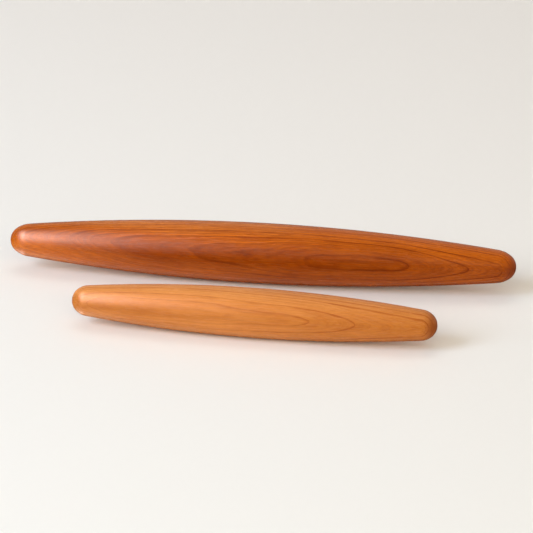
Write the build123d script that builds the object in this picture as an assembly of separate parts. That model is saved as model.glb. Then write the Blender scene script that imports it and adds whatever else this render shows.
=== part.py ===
from build123d import *
import math
import os

# Two tapered wooden rolling pins of one pattern, a large one and a small one, lying side by
# side on a table. Each is turned from a single length of wood: it has no handles, no axle and
# no straight stretch, only one shallow curve from tip to tip, closed by a rounded nose.
# Lengths are in millimetres and angles in degrees. The origin is the point where the middle
# of the large pin touches the table, +X runs along that pin, and +Z is up.

# The large pin: its end diameter is the one that the long curve reaches at the tip, where
# the nose has already rounded it off.
large_length = 483.0
large_middle_diameter = 57.4
large_end_diameter = 27.0
large_nose_length = 17.25

# The small pin, measured in the same way
small_length = 337.6
small_middle_diameter = 45.6
small_end_diameter = 25.0
small_nose_length = 13.7

# How the small pin lies: in front of the large one, a little to the right of its middle, and
# with its right end turned forward.
gap_between_pins = 69.9
small_pin_shift = 10.2
small_pin_turn = -1.9


def long_curve_radius(length, middle_diameter, end_diameter):
    """Radius of the arc that falls from the middle diameter to the end diameter."""
    half_length = length / 2
    fall = (middle_diameter - end_diameter) / 2
    return (half_length**2 + fall**2) / (2 * fall)


def nose_arcs(shoulder, along, tip):
    """The two arcs of a nose, from the shoulder on the long curve to the tip on the axis.

    The first leaves the long curve in its own direction and the second meets the axis
    squarely. Both have tangents of the same length, so they run into each other smoothly.
    """
    inward = Vector(0, -1)
    chord = tip - shoulder
    both_ways = along + inward
    spread = 4 - both_ways.dot(both_ways)
    reach = chord.dot(both_ways)
    tangent_length = (math.sqrt(reach**2 + spread * chord.dot(chord)) - reach) / spread
    crest = (shoulder + along * tangent_length + tip - inward * tangent_length) / 2
    shoulder_arc = TangentArc(shoulder, crest, tangent=along)
    crown_arc = TangentArc(tip, crest, tangent=-inward)
    return [shoulder_arc, crown_arc]


def rolling_pin(length, middle_diameter, end_diameter, nose_length):
    """One pin along the X axis, with its middle at the origin: its side line, spun round."""
    curve_radius = long_curve_radius(length, middle_diameter, end_diameter)
    curve_centre = Vector(0, middle_diameter / 2 - curve_radius)
    shoulder_x = length / 2 - nose_length
    shoulder_y = curve_centre.Y + math.sqrt(curve_radius**2 - shoulder_x**2)
    shoulder = Vector(shoulder_x, shoulder_y)
    outward = (shoulder - curve_centre).normalized()
    along = Vector(outward.Y, -outward.X)
    tip = Vector(length / 2, 0)
    middle = Vector(0, middle_diameter / 2)

    long_curve = ThreePointArc(Vector(-shoulder_x, shoulder_y), middle, shoulder)
    right_nose = nose_arcs(shoulder, along, tip)
    left_nose = [arc.mirror(Plane.YZ) for arc in right_nose]
    axis_line = Line(Vector(-length / 2, 0), tip)
    outline = Curve() + [long_curve, *right_nose, *left_nose, axis_line]
    return revolve(make_face(outline), axis=Axis.X)


# The large pin rests on its belly, with its axis half its middle diameter above the table.
large_height = large_middle_diameter / 2
large_pin = Pos(0, 0, large_height) * rolling_pin(
    large_length, large_middle_diameter, large_end_diameter, large_nose_length
)

# The small pin rests the same way, one gap in front of the large pin's belly.
small_height = small_middle_diameter / 2
small_distance = large_height + gap_between_pins + small_height
small_pin = (
    Pos(small_pin_shift, -small_distance, small_height)
    * Rot(0, 0, small_pin_turn)
    * rolling_pin(small_length, small_middle_diameter, small_end_diameter, small_nose_length)
)

os.makedirs("parts", exist_ok=True)
for name, pin in {"large_pin": large_pin, "small_pin": small_pin}.items():
    export_step(pin, f"parts/{name}.step")
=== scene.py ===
import math

import bmesh
import bpy
from mathutils import Matrix, Vector


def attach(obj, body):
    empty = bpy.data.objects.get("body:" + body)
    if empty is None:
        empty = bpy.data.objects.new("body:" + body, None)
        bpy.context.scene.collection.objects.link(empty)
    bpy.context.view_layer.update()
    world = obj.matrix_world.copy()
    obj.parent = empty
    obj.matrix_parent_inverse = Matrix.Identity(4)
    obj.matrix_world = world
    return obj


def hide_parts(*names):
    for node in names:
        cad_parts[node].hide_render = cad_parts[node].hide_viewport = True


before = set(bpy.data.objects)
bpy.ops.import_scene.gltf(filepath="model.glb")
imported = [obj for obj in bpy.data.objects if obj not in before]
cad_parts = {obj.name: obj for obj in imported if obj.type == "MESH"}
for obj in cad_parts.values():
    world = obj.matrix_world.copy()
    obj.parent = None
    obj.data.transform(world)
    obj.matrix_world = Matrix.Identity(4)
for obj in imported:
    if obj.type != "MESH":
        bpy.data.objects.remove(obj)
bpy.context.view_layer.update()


# The large pin: one length of close-grained reddish fruit wood. It is turned between centres
# to a long taper with rounded ends, sanded along the grain and rubbed with oil to a satin
# finish. Its sizes are those of its solid.
large_length = 0.483
large_middle_diameter = 0.0574
large_end_diameter = 0.027
large_nose_length = 0.01725


def turned_pin(name, length, middle_diameter, end_diameter, nose_length):
    """A pin along the X axis, with its middle at the origin: half its side line, spun round."""
    half = length / 2
    fall = (middle_diameter - end_diameter) / 2
    curve_radius = (half**2 + fall**2) / (2 * fall)
    curve_centre = Vector((0, 0, middle_diameter / 2 - curve_radius))

    # The shoulder, where the long curve ends, and the crest, where the two nose arcs meet
    shoulder_turn = math.asin((half - nose_length) / curve_radius)
    outward = Vector((math.sin(shoulder_turn), 0, math.cos(shoulder_turn)))
    along = Vector((outward.z, 0, -outward.x))
    inward = Vector((0, 0, -1))
    shoulder = curve_centre + curve_radius * outward
    tip = Vector((half, 0, 0))
    chord = tip - shoulder
    both_ways = along + inward
    spread = 4 - both_ways.dot(both_ways)
    reach = chord.dot(both_ways)
    tangent_length = (math.sqrt(reach**2 + spread * chord.dot(chord)) - reach) / spread
    crest = (shoulder + along * tangent_length + tip - inward * tangent_length) / 2
    drop = shoulder - crest
    shoulder_radius = drop.dot(drop) / (2 * drop.dot(outward))
    shoulder_centre = shoulder - shoulder_radius * outward
    crown_depth = half - crest.x
    crown_radius = (crown_depth**2 + crest.z**2) / (2 * crown_depth)
    crown_centre = Vector((half - crown_radius, 0, 0))
    crown_turn = math.atan2(crest.z, crest.x - crown_centre.x)
    nose_turn = math.pi / 2 - shoulder_turn - crown_turn

    # One point is led round the three arcs, and the line that it leaves is spun and mirrored.
    curve_steps = 70
    shoulder_steps = 12
    crown_steps = 16
    steps_round = 128
    same_point = 1e-6
    arcs = (
        (curve_centre, shoulder_turn, curve_steps),
        (shoulder_centre, nose_turn, shoulder_steps),
        (crown_centre, crown_turn, crown_steps),
    )
    mesh = bmesh.new()
    point = mesh.verts.new((0, 0, middle_diameter / 2))
    for centre, turn, steps in arcs:
        led = bmesh.ops.spin(
            mesh, geom=[point], cent=centre, axis=(0, 1, 0), angle=turn, steps=steps
        )
        point = [part for part in led["geom_last"] if isinstance(part, bmesh.types.BMVert)][0]
    point.co = tip
    bmesh.ops.spin(
        mesh, geom=mesh.verts[:] + mesh.edges[:], cent=(0, 0, 0), axis=(1, 0, 0),
        angle=2 * math.pi, steps=steps_round, use_merge=True,
    )
    bmesh.ops.mirror(
        mesh, geom=mesh.verts[:] + mesh.edges[:] + mesh.faces[:], axis="X",
        merge_dist=same_point,
    )
    bmesh.ops.remove_doubles(mesh, verts=mesh.verts[:], dist=same_point)
    bmesh.ops.recalc_face_normals(mesh, faces=mesh.faces[:])
    for face in mesh.faces:
        face.smooth = True
    data = bpy.data.meshes.new(name)
    mesh.to_mesh(data)
    mesh.free()
    pin = bpy.data.objects.new(name, data)
    bpy.context.scene.collection.objects.link(pin)
    return pin


def oiled_wood(
    name, length, middle, turn, facing, arch, drift, lean, ring_depths, ring_tones,
    line_width, crisp_along, late_along, wood_colours, line_tint, tone, front_shade_and_heart, across,
    flame, wobble, grain, right_end_shade_tint, gloss, seed,
):
    """Wood whose growth layers are cut by the turned surface, all measured in millimetres.

    The layers face the direction called facing, as degrees above the horizontal front. They
    are arched by arch, and drift and lean bring them nearer the surface or tip them from one
    end of the pin to the other. flame and wobble ripple them. ring_depths lists the depth at
    which each dark line lies, and ring_tones how dark it is at the left and at the right end.
    crisp_along says where along the pin the lines are sharp, and late_along where the wood
    darkens softly towards them.

    wood_colours holds the palest, the middle and the deepest colour. tone is the depth of
    colour along the pin, and front_shade_and_heart what the middle of the front adds to it:
    partly the wood's deeper heart, partly painted shade against the light that falls hardest
    on the front. across is how much of that is left when going round, from the underside (0)
    to the top (1), which paints the top and the underside paler. line_tint colours the lines
    and the grain, whose strength is grain, and right_end_shade_tint the painted shade on the
    right nose.
    gloss is the strength of the reflections, 0.5 for a plain oiled surface. length, middle
    and turn are the pin's own, and seed shifts the patterns, so that no two pins share them.
    """
    material = bpy.data.materials.new(name)
    material.use_nodes = True
    tree = material.node_tree
    shader = tree.nodes["Principled BSDF"]

    def plug(socket, value):
        if isinstance(value, bpy.types.NodeSocket):
            tree.links.new(value, socket)
        else:
            socket.default_value = value

    def calc(operation, *values):
        node = tree.nodes.new("ShaderNodeMath")
        node.operation = operation
        for socket, value in zip(node.inputs, values):
            plug(socket, value)
        return node.outputs[0]

    def vector(*values):
        node = tree.nodes.new("ShaderNodeCombineXYZ")
        for socket, value in zip(node.inputs, values):
            plug(socket, value)
        return node.outputs[0]

    def noise(place, detail, roughness):
        node = tree.nodes.new("ShaderNodeTexNoise")
        plug(node.inputs["Vector"], place)
        node.inputs["Scale"].default_value = 1
        node.inputs["Detail"].default_value = detail
        node.inputs["Roughness"].default_value = roughness
        return node.outputs["Fac"]

    def curve(value, points, lowest, highest):
        """A smooth curve through the points (place, height), for places 0 to 1.

        lowest and highest are the ends of the range that the heights lie in.
        """
        node = tree.nodes.new("ShaderNodeFloatCurve")
        line = node.mapping.curves[0]
        heights = [(place, (height - lowest) / (highest - lowest)) for place, height in points]
        line.points[0].location = heights[0]
        line.points[-1].location = heights[-1]
        for place, height in heights[1:-1]:
            line.points.new(place, height)
        node.mapping.update()
        plug(node.inputs["Value"], value)
        return calc("MULTIPLY_ADD", node.outputs[0], highest - lowest, lowest)

    def between(value, low, high, out_low=0.0, out_high=1.0):
        """A smooth rise from out_low, where value is low or less, to out_high at high."""
        node = tree.nodes.new("ShaderNodeMapRange")
        node.interpolation_type = "SMOOTHSTEP"
        for socket, number in zip(node.inputs, (value, low, high, out_low, out_high)):
            plug(socket, number)
        return node.outputs[0]

    def stained(colour, amount, tint):
        """The colour, multiplied by the tint where the amount is 1."""
        node = tree.nodes.new("ShaderNodeMix")
        node.data_type = "RGBA"
        node.blend_type = "MULTIPLY"
        factor, first, second = node.inputs[0], node.inputs[6], node.inputs[7]
        plug(factor, amount)
        plug(first, colour)
        plug(second, (*tint, 1))
        return node.outputs[2]

    # The place in the pin, in millimetres from its middle: x along it, out towards the side
    # that the layers face, sideways square to both
    millimetre = 0.001
    coordinates = tree.nodes.new("ShaderNodeTexCoord")
    mapping = tree.nodes.new("ShaderNodeMapping")
    mapping.vector_type = "TEXTURE"
    mapping.inputs["Location"].default_value = middle
    mapping.inputs["Rotation"].default_value = (-math.radians(facing), 0, turn)
    mapping.inputs["Scale"].default_value = (millimetre, millimetre, millimetre)
    tree.links.new(coordinates.outputs["Object"], mapping.inputs["Vector"])
    split = tree.nodes.new("ShaderNodeSeparateXYZ")
    tree.links.new(mapping.outputs[0], split.inputs[0])
    x, back, sideways = split.outputs
    out = calc("MULTIPLY", back, -1)
    share = calc("MULTIPLY_ADD", x, millimetre / length, 0.5)

    def along_pin(cells_along, cells_round, shift, detail, roughness=0.5):
        """A pattern drawn out along the pin. Its cells are counted to a millimetre."""
        place = vector(
            calc("MULTIPLY_ADD", x, cells_along, shift),
            calc("MULTIPLY", back, cells_round),
            calc("MULTIPLY", sideways, cells_round),
        )
        return noise(place, detail, roughness)

    # How deep in the tree each point lay
    slow = along_pin(0.02, 0.05, seed, 1)
    quick = along_pin(0.03, 0.35, -seed, 1)
    bend = curve(share, arch, 0, 0.03)
    depth = calc("MULTIPLY_ADD", calc("MULTIPLY", sideways, sideways), bend, out)
    leaning = curve(share, lean, -0.5, 0.5)
    depth = calc("MULTIPLY_ADD", sideways, leaning, depth)
    depth = calc("ADD", depth, curve(share, drift, -5, 15))
    depth = calc("MULTIPLY_ADD", calc("SUBTRACT", slow, 0.5), wobble, depth)
    depth = calc("MULTIPLY_ADD", calc("SUBTRACT", quick, 0.5), curve(share, flame, 0, 2), depth)

    # How fast the layers are crossed when going round the pin: slowly where they face
    # outwards, but never at a standstill
    slowest_crossing = 0.03
    radius = calc("SQRT", calc("MULTIPLY_ADD", sideways, sideways, calc("MULTIPLY", out, out)))
    crossing = calc("ABSOLUTE", calc("MULTIPLY_ADD", calc("MULTIPLY", bend, out), -2, 1))
    crossing = calc("DIVIDE", calc("MULTIPLY", calc("ABSOLUTE", sideways), crossing), radius)
    crossing = calc("ADD", crossing, slowest_crossing)

    # The rings are numbered from the outermost, with 0 at the first depth listed.
    last = len(ring_depths) - 1
    deepest = ring_depths[-1]
    thickness = ring_depths[0] - deepest
    lines = [((level - deepest) / thickness, number) for number, level in enumerate(ring_depths)]

    def ring_number(further_round):
        """The ring that is met this many millimetres further round the surface."""
        place = calc("MULTIPLY_ADD", crossing, calc("MULTIPLY", further_round, -1), depth)
        level = calc("MULTIPLY_ADD", place, 1 / thickness, -deepest / thickness)
        return curve(level, lines[::-1], 0, last)

    rings = ring_number(0.0)
    ring = calc("FLOOR", rings)

    def along_layers(cells_along, cells_a_ring, cells_sideways, shift, detail, roughness=0.5):
        """A pattern that follows the growth layers."""
        place = vector(
            calc("MULTIPLY_ADD", x, cells_along, shift),
            calc("MULTIPLY", rings, cells_a_ring),
            calc("MULTIPLY", sideways, cells_sideways),
        )
        return noise(place, detail, roughness)

    # A thin dark line ends each ring: a dark core with a paler edge, of uneven width.
    uneven = between(along_layers(0.04, 1, 0.1, seed, 2), 0.3, 0.7, 0.5, 1.5)

    def ends_within(distance):
        """1 where the ring ends within this distance, and 0 elsewhere."""
        ahead = ring_number(calc("MULTIPLY", uneven, distance))
        return calc("GREATER_THAN", calc("FLOOR", ahead), ring)

    core = ends_within(line_width)
    edge = ends_within(line_width * 2)
    which = calc("DIVIDE", ring, last)
    left_tone, right_tone = [
        curve(which, [(number / last, darkness) for number, darkness in enumerate(tones)], 0, 1)
        for tones in ring_tones
    ]
    to_right = between(share, 0.55, 0.75)
    strength = calc("MULTIPLY_ADD", calc("SUBTRACT", right_tone, left_tone), to_right, left_tone)

    # High on the pin the lines are sharp from end to end.
    crisp = calc("MAXIMUM", curve(share, crisp_along, 0, 1), between(sideways, 5, 14))
    dark_line = calc("MULTIPLY_ADD", edge, 0.4, calc("MULTIPLY", core, 0.6))
    dark_line = calc("MULTIPLY", calc("MULTIPLY", dark_line, strength), crisp)

    # Before its line the wood of a ring darkens softly.
    within = calc("FRACT", rings)
    late_wood = calc("SUBTRACT", between(within, 0.1, 0.75), between(within, 0.65, 1.0))
    late_wood = calc("MULTIPLY", late_wood, strength)
    late_wood = calc("MULTIPLY", late_wood, curve(share, late_along, 0, 1))

    # Streaks that follow the layers, and the fibres and pores that follow the pin
    streak = along_layers(0.01, 2.3, 0.035, seed * 2, 2, 0.6)
    thin_streak = along_layers(0.013, 7.0, 0.2, seed, 2, 0.6)
    fibre = along_pin(0.035, 0.55, seed, 2, 0.7)
    hair = along_pin(0.1, 1.15, seed, 1, 0.7)
    pore = between(along_pin(0.3, 5.5, seed, 1), 0.64, 0.74)
    cloud = along_pin(0.011, 0.04, seed * 3, 2)

    # Painted shade darkens the right nose, the end away from the window, over its end grain.
    facing_out = tree.nodes.new("ShaderNodeVectorMath")
    facing_out.operation = "DOT_PRODUCT"
    tree.links.new(coordinates.outputs["Normal"], facing_out.inputs[0])
    facing_out.inputs[1].default_value = (math.cos(turn), math.sin(turn), 0)
    right_end_grain_and_shade = between(facing_out.outputs["Value"], 0.3, 0.75)

    # The colours laid over each other, from the palest wood to the deepest. side goes from
    # the underside (0) to the top (1), and leans with the layers.
    side = calc("MULTIPLY_ADD", calc("DIVIDE", sideways, radius), 0.48, 0.5)
    side = calc("SUBTRACT", side, leaning)
    # Partly painted shade: darkest mid-front, where light falls hardest, paler to top and
    # underside
    darkness = calc("MULTIPLY", curve(share, front_shade_and_heart, 0, 1), curve(side, across, 0, 1))
    darkness = calc("ADD", darkness, curve(share, tone, 0, 1))
    darkness = calc("MULTIPLY_ADD", calc("SUBTRACT", cloud, 0.5), 0.5, darkness)
    middle_colour_at = 0.45
    stops = tree.nodes.new("ShaderNodeValToRGB")
    stops.color_ramp.elements.new(middle_colour_at)
    for element, shade in zip(stops.color_ramp.elements, wood_colours):
        element.color = (*shade, 1)
    tree.links.new(darkness, stops.inputs[0])
    stained_by = (
        calc("MULTIPLY", late_wood, 0.5),
        dark_line,
        between(streak, 0.42, 0.7, 0, 0.32 * grain),
        between(thin_streak, 0.42, 0.65, 0, 0.45 * grain),
        between(fibre, 0.35, 0.65, 0, 0.18 * grain),
        between(hair, 0.38, 0.62, 0, 0.34 * grain),
        calc("MULTIPLY", pore, 0.4),
    )
    colour = stops.outputs[0]
    for amount in stained_by:
        colour = stained(colour, amount, line_tint)
    # Painted shade on the right nose, the end away from the window
    colour = stained(colour, right_end_grain_and_shade, right_end_shade_tint)
    plug(shader.inputs["Base Color"], colour)

    # The oil shines a little more on the dark lines, and less on the fibres and the end grain.
    roughness = calc("MULTIPLY_ADD", fibre, 0.1, 0.22)
    roughness = calc("MULTIPLY_ADD", dark_line, -0.03, roughness)
    plug(shader.inputs["Roughness"], calc("MULTIPLY_ADD", right_end_grain_and_shade, 0.08, roughness))
    shader.inputs["Specular IOR Level"].default_value = gloss

    # A relief that can hardly be felt: raised fibres and sunken pores
    relief = calc("MULTIPLY_ADD", hair, 0.4, calc("MULTIPLY", fibre, 0.5))
    relief = calc("MULTIPLY_ADD", pore, -0.5, relief)
    relief = calc("MULTIPLY_ADD", dark_line, 0.15, relief)
    bump = tree.nodes.new("ShaderNodeBump")
    bump.inputs["Strength"].default_value = 0.22
    bump.inputs["Distance"].default_value = 0.0001
    plug(bump.inputs["Height"], relief)
    plug(shader.inputs["Normal"], bump.outputs[0])
    return material


large_pin = turned_pin(
    "large_pin_wood", large_length, large_middle_diameter, large_end_diameter,
    large_nose_length,
)
large_middle = (0, 0, large_middle_diameter / 2)
large_pin.data.transform(Matrix.Translation(large_middle))
large_pin.data.materials.append(oiled_wood(
    "reddish_oiled_wood",
    length=large_length,
    middle=large_middle,
    turn=0,
    facing=16,
    arch=[(0, 0.016), (1, 0.016)],
    drift=[(0, 7.5), (0.086, 5.75), (0.169, 4.5), (0.252, 2.85), (0.334, 1.17), (0.417, 0.22),
           (0.5, 0), (0.562, 0.6), (0.614, 1.35), (0.666, 2.3), (0.728, 3.83), (0.79, 5.63),
           (0.852, 7.18), (0.914, 9.19), (1, 12.4)],
    lean=[(0, 0.25), (0.127, 0.14), (0.252, 0.047), (0.376, 0.013), (0.5, 0.003),
          (0.624, -0.004), (0.748, -0.007), (0.831, -0.026), (0.914, -0.044), (1, -0.1)],
    ring_depths=[30.2, 29.18, 28.57, 28.35, 27.95, 27.55, 26.9, 26.3, 25.86, 24.9, 24.0, 23.2,
                 22.47, 20.6, 18.5, 16.0, 13.5, 10.5, 7.5, 4.0, 0.5, -3.5, -7.5, -11.5, -15.5,
                 -20.0, -25.0, -30.0],
    ring_tones=([0.7, 0.3, 0.6, 0.5, 0.9, 0.5, 0.6, 0.9, 0.35, 0.5, 0.35, 0.75, 0.5, 0.7, 0.9,
                 0.6, 0.8, 0.55, 0.9, 0.7, 0.6, 0.9, 0.7, 0.6, 0.8, 0.7, 0.8, 0.7],
                [0.85, 0.05, 0.3, 0.3, 0.95, 0.05, 0.1, 0.9, 0.05, 0.1, 0.1, 0.8, 0.1, 0.3, 0.2,
                 0.3, 0.2, 0.2, 0.3, 0.2, 0.2, 0.3, 0.2, 0.2, 0.3, 0.2, 0.2, 0.2]),
    line_width=0.8,
    crisp_along=[(0, 0.4), (0.3, 0.4), (0.42, 0.5), (0.55, 0.7), (0.61, 0.8), (0.68, 0.9), (1, 1)],
    late_along=[(0, 0.5), (0.2, 0.8), (0.45, 0.8), (0.57, 0.4), (0.62, 0.05), (0.7, 0.1),
                (1, 0.25)],
    wood_colours=((0.9, 0.29, 0.045), (0.69, 0.162, 0.006), (0.37, 0.064, 0)),
    line_tint=(0.52, 0.36, 0.25),
    tone=[(0, 0), (0.17, 0.02), (0.33, 0.09), (0.5, 0.16), (0.58, 0.29), (0.68, 0.38),
          (0.78, 0.46), (0.9, 0.49), (1, 0.49)],
    front_shade_and_heart=[(0, 0.55), (0.08, 0.85), (0.15, 0.95), (0.3, 0.95), (0.376, 0.85), (0.44, 0.85),
           (0.5, 0.85), (0.56, 0.8), (0.62, 0.68), (0.69, 0.52), (0.75, 0.46), (0.81, 0.42),
           (0.88, 0.32), (1, 0.32)],
    across=[(0, 0.4), (0.1, 0.5), (0.2, 0.6), (0.3, 0.75), (0.39, 0.95), (0.46, 1), (0.58, 1),
            (0.66, 0.75), (0.72, 0.5), (0.79, 0.35), (0.88, 0.1), (1, 0)],
    flame=[(0, 0.12), (0.12, 0.18), (0.3, 0.18), (0.42, 0.14), (0.52, 0.1), (0.62, 0.06),
           (1, 0.04)],
    wobble=0.12,
    grain=1.0,
    right_end_shade_tint=(0.8, 0.68, 0.6),
    gloss=0.5,
    seed=3.7,
))
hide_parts("large_pin")
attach(large_pin, "large_pin")


# The small pin: turned in the same way from a paler, golden piece of the same kind of wood.
# It lies in front of the large pin, one gap away and a little askew, and is loose.
small_length = 0.3376
small_middle_diameter = 0.0456
small_end_diameter = 0.025
small_nose_length = 0.0137
gap_between_pins = 0.0699
small_pin_shift = 0.0102
small_pin_turn = math.radians(-1.9)

small_distance = large_middle_diameter / 2 + gap_between_pins + small_middle_diameter / 2
small_middle = (small_pin_shift, -small_distance, small_middle_diameter / 2)
small_pin = turned_pin(
    "small_pin_wood", small_length, small_middle_diameter, small_end_diameter,
    small_nose_length,
)
small_pin.data.transform(
    Matrix.Translation(small_middle) @ Matrix.Rotation(small_pin_turn, 4, "Z")
)
small_pin.data.materials.append(oiled_wood(
    "golden_oiled_wood",
    length=small_length,
    middle=small_middle,
    turn=small_pin_turn,
    facing=12,
    arch=[(0, 0.0173), (0.25, 0.0179), (0.5, 0.0139), (0.75, 0.0105), (1, 0.0105)],
    drift=[(0, 8.87), (0.1, 6.95), (0.2, 4.17), (0.3, 2.0), (0.4, 0.8), (0.5, 0), (0.6, 0.4),
           (0.7, 1.02), (0.8, 1.57), (0.9, 2.9), (1, 5.51)],
    lean=[(0, 0.04), (0.2, 0.02), (0.4, 0.02), (0.6, 0.01), (0.8, 0.003), (1, -0.02)],
    ring_depths=[25.0, 22.45, 20.89, 19.4, 18.0, 16.48, 13.24, 10.0, 6.5, 3.0, -1.0, -5.0, -9.0,
                 -13.0, -18.0, -24.0],
    ring_tones=([0.6, 0.7, 0.15, 0.3, 0.6, 0.5, 0.6, 0.5, 0.6, 0.4, 0.7, 0.5, 0.6, 0.5, 0.5, 0.5],
                [0.7, 1, 0.05, 0.1, 0.95, 0.8, 0.4, 0.3, 0.4, 0.3, 0.4, 0.3, 0.3, 0.3, 0.3, 0.3]),
    line_width=0.7,
    crisp_along=[(0, 0.9), (0.35, 0.6), (0.55, 1), (1, 1)],
    late_along=[(0, 0.4), (0.5, 0.3), (1, 0.3)],
    wood_colours=((0.85, 0.35, 0.095), (0.69, 0.255, 0.058), (0.54, 0.165, 0.02)),
    line_tint=(0.70, 0.50, 0.34),
    tone=[(0, 0.02), (0.3, 0.05), (0.5, 0.1), (0.65, 0.21), (0.8, 0.31), (1, 0.45)],
    front_shade_and_heart=[(0, 0.45), (0.1, 0.95), (0.3, 0.66), (0.5, 0.56), (0.7, 0.54), (0.85, 0.52), (1, 0.5)],
    across=[(0, 0.25), (0.15, 0.45), (0.3, 0.65), (0.42, 1), (0.62, 1), (0.8, 0.35), (1, 0)],
    flame=[(0, 0.2), (0.5, 0.2), (0.62, 0.1), (1, 0.1)],
    wobble=0.15,
    grain=0.7,
    right_end_shade_tint=(0.75, 0.62, 0.55),
    gloss=0.42,
    seed=8.3,
))
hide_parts("small_pin")
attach(small_pin, "small_pin")


# The floor: a plain, pale, matt surface under the pins, painted off-white. It also glows
# faintly and greenish: painted light, which lightens the shadows on it and gives the narrow gap
# under a pin its last bit of light.
floor_width = 9.0
floor_mesh = bmesh.new()
bmesh.ops.create_grid(floor_mesh, x_segments=1, y_segments=1, size=floor_width / 2)
floor_data = bpy.data.meshes.new("floor")
floor_mesh.to_mesh(floor_data)
floor_mesh.free()
floor = bpy.data.objects.new("floor", floor_data)
bpy.context.scene.collection.objects.link(floor)
floor_paint = bpy.data.materials.new("off_white_paint")
floor_paint.use_nodes = True
floor_shader = floor_paint.node_tree.nodes["Principled BSDF"]
floor_shader.inputs["Base Color"].default_value = (0.88, 0.856, 0.8, 1)
floor_shader.inputs["Roughness"].default_value = 0.7
floor_shader.inputs["Specular IOR Level"].default_value = 0.2
# Painted light: a faint, greenish glow that lightens the shadows on the floor
floor_shader.inputs["Emission Color"].default_value = (0.84, 0.9, 0.82, 1)
floor_shader.inputs["Emission Strength"].default_value = 0.03
floor.data.materials.append(floor_paint)
floor.visible_glossy = False


# Light: an even, warm, pale room, a soft, cool window at the front left, a broad, warm lamp low
# at the front, which fills the shadows, and a weak lamp above. What the oiled wood mirrors is
# not the lamps but the room, whose brightness is set apart for that, direction by direction.
world = bpy.data.worlds.new("pale_room")
bpy.context.scene.world = world
world.use_nodes = True
room_tree = world.node_tree
room = room_tree.nodes["Background"]
room.inputs["Color"].default_value = (1.03, 0.95, 0.88, 1)
room_place = room_tree.nodes.new("ShaderNodeTexCoord")
room_axes = room_tree.nodes.new("ShaderNodeSeparateXYZ")
room_tree.links.new(room_place.outputs["Generated"], room_axes.inputs[0])


def room_math(operation, *values):
    """One step of arithmetic. Each value is a number or what another step gives."""
    node = room_tree.nodes.new("ShaderNodeMath")
    node.operation = operation
    for socket, value in zip(node.inputs, values):
        if isinstance(value, bpy.types.NodeSocket):
            room_tree.links.new(value, socket)
        else:
            socket.default_value = value
    return node.outputs[0]


def part_of_room(brightness, by_x, by_y, by_z):
    """How bright a part of the room looks in a reflection, from each direction.

    by_x, by_y and by_z are points (direction, share of the brightness), with directions from
    -1 to 1.
    """
    strength = brightness
    for axis, points in zip(room_axes.outputs, (by_x, by_y, by_z)):
        node = room_tree.nodes.new("ShaderNodeFloatCurve")
        line = node.mapping.curves[0]
        places = [((direction + 1) / 2, share) for direction, share in points]
        line.points[0].location = places[0]
        line.points[-1].location = places[-1]
        for place in places[1:-1]:
            line.points.new(*place)
        for point in line.points:
            point.handle_type = "VECTOR"
        node.mapping.update()
        room_tree.links.new(room_math("MULTIPLY_ADD", axis, 0.5, 0.5), node.inputs["Value"])
        strength = room_math("MULTIPLY", node.outputs[0], strength)
    return strength


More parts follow.
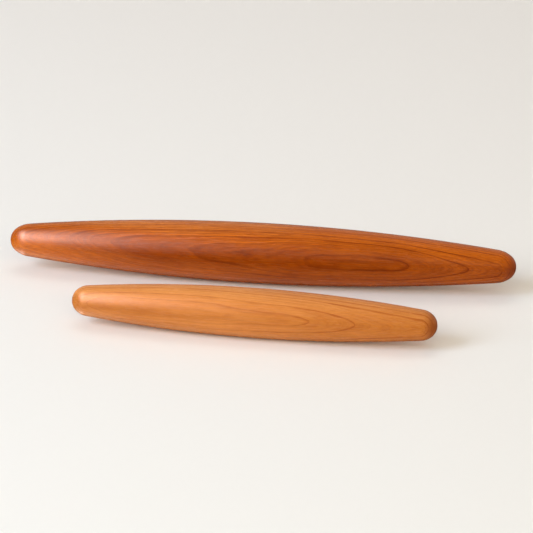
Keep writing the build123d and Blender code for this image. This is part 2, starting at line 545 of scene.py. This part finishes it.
far_wall = part_of_room(
    brightness=0.4,
    by_x=[(-1, 1), (1, 1)],
    by_y=[(-1, 0), (0.1, 0), (0.8, 1), (1, 1)],
    by_z=[(-1, 0), (-0.3, 0), (0.1, 1), (1, 1)],
)
near_floor = part_of_room(
    brightness=8.0,
    by_x=[(-1, 0), (-0.7, 0.08), (-0.55, 0.5), (-0.43, 1), (-0.36, 0.3), (-0.28, 0.13),
          (-0.1, 0.05), (1, 0.04)],
    by_y=[(-1, 0), (-0.7, 0.1), (-0.1, 0.35), (0.2, 0.7), (0.35, 0.4), (0.6, 0.03), (1, 0)],
    by_z=[(-1, 1), (-0.8, 1), (-0.5, 0.3), (-0.3, 0), (1, 0)],
)
window_wall = part_of_room(
    brightness=21.0,
    by_x=[(-1, 0.02), (-0.88, 0.1), (-0.76, 0.55), (-0.63, 0.9), (-0.54, 0.95), (-0.45, 0.8),
          (-0.41, 0.5), (-0.37, 0.22), (-0.33, 0.11), (-0.29, 0.045), (-0.21, 0.02),
          (-0.13, 0.005), (0, 0), (1, 0)],
    by_y=[(-1, 1), (-0.3, 1), (-0.15, 0.7), (0.1, 0.25), (0.35, 0), (1, 0)],
    by_z=[(-1, 0.04), (-0.4, 0.05), (0, 0.14), (0.25, 0.42), (0.5, 0.95), (0.7, 1), (0.85, 0.8),
          (1, 0.7)],
)
reflected = room_math("ADD", room_math("ADD", far_wall, near_floor), window_wall)

# The mix goes from the even light of the room to what is reflected of it.
even_light = 0.41
rays = room_tree.nodes.new("ShaderNodeLightPath")
room_strength = room_tree.nodes.new("ShaderNodeMix")
share_reflected, _, even, mirrored = room_strength.inputs[:4]
even.default_value = even_light
room_tree.links.new(rays.outputs["Is Glossy Ray"], share_reflected)
room_tree.links.new(reflected, mirrored)
room_tree.links.new(room_strength.outputs[0], room.inputs["Strength"])


def soft_lamp(name, direction, distance, width, height, energy, colour):
    """A lamp that lights things softly, and is neither seen nor mirrored itself."""
    data = bpy.data.lights.new(name, "AREA")
    data.shape = "RECTANGLE"
    data.size = width
    data.size_y = height
    data.energy = energy
    data.color = colour
    lamp = bpy.data.objects.new(name, data)
    lamp.location = direction.normalized() * distance
    lamp.rotation_euler = direction.to_track_quat("Z", "Y").to_euler()
    lamp.visible_camera = False
    lamp.visible_glossy = False
    bpy.context.scene.collection.objects.link(lamp)


soft_lamp(
    "window", direction=Vector((-0.68, -0.49, 0.54)), distance=3.8,
    width=1.6, height=2.2, energy=86, colour=(0.8, 1.0, 1.3),
)
soft_lamp(
    "front_fill", direction=Vector((0.08, -0.84, 0.55)), distance=4.0,
    width=4.2, height=1.6, energy=55, colour=(1.08, 1.0, 0.73),
)
soft_lamp(
    "top_fill", direction=Vector((-0.1, 0.25, 0.96)), distance=3.4,
    width=2.5, height=1.6, energy=16, colour=(1.15, 0.98, 0.94),
)


# The camera: a long lens in front of the pins, a little to their right, looking down on both
# from the height and angle of the photograph.
camera_data = bpy.data.cameras.new("camera")
camera_data.sensor_width = 36
camera_data.lens = 202.63
camera_data.clip_end = 50
camera = bpy.data.objects.new("camera", camera_data)
camera.location = (0.368, -2.5731, 1.17202)
camera.rotation_euler = (math.radians(66), 0, math.radians(8.021))
bpy.context.scene.collection.objects.link(camera)
bpy.context.scene.camera = camera
bpy.context.scene.view_settings.view_transform = "Standard"
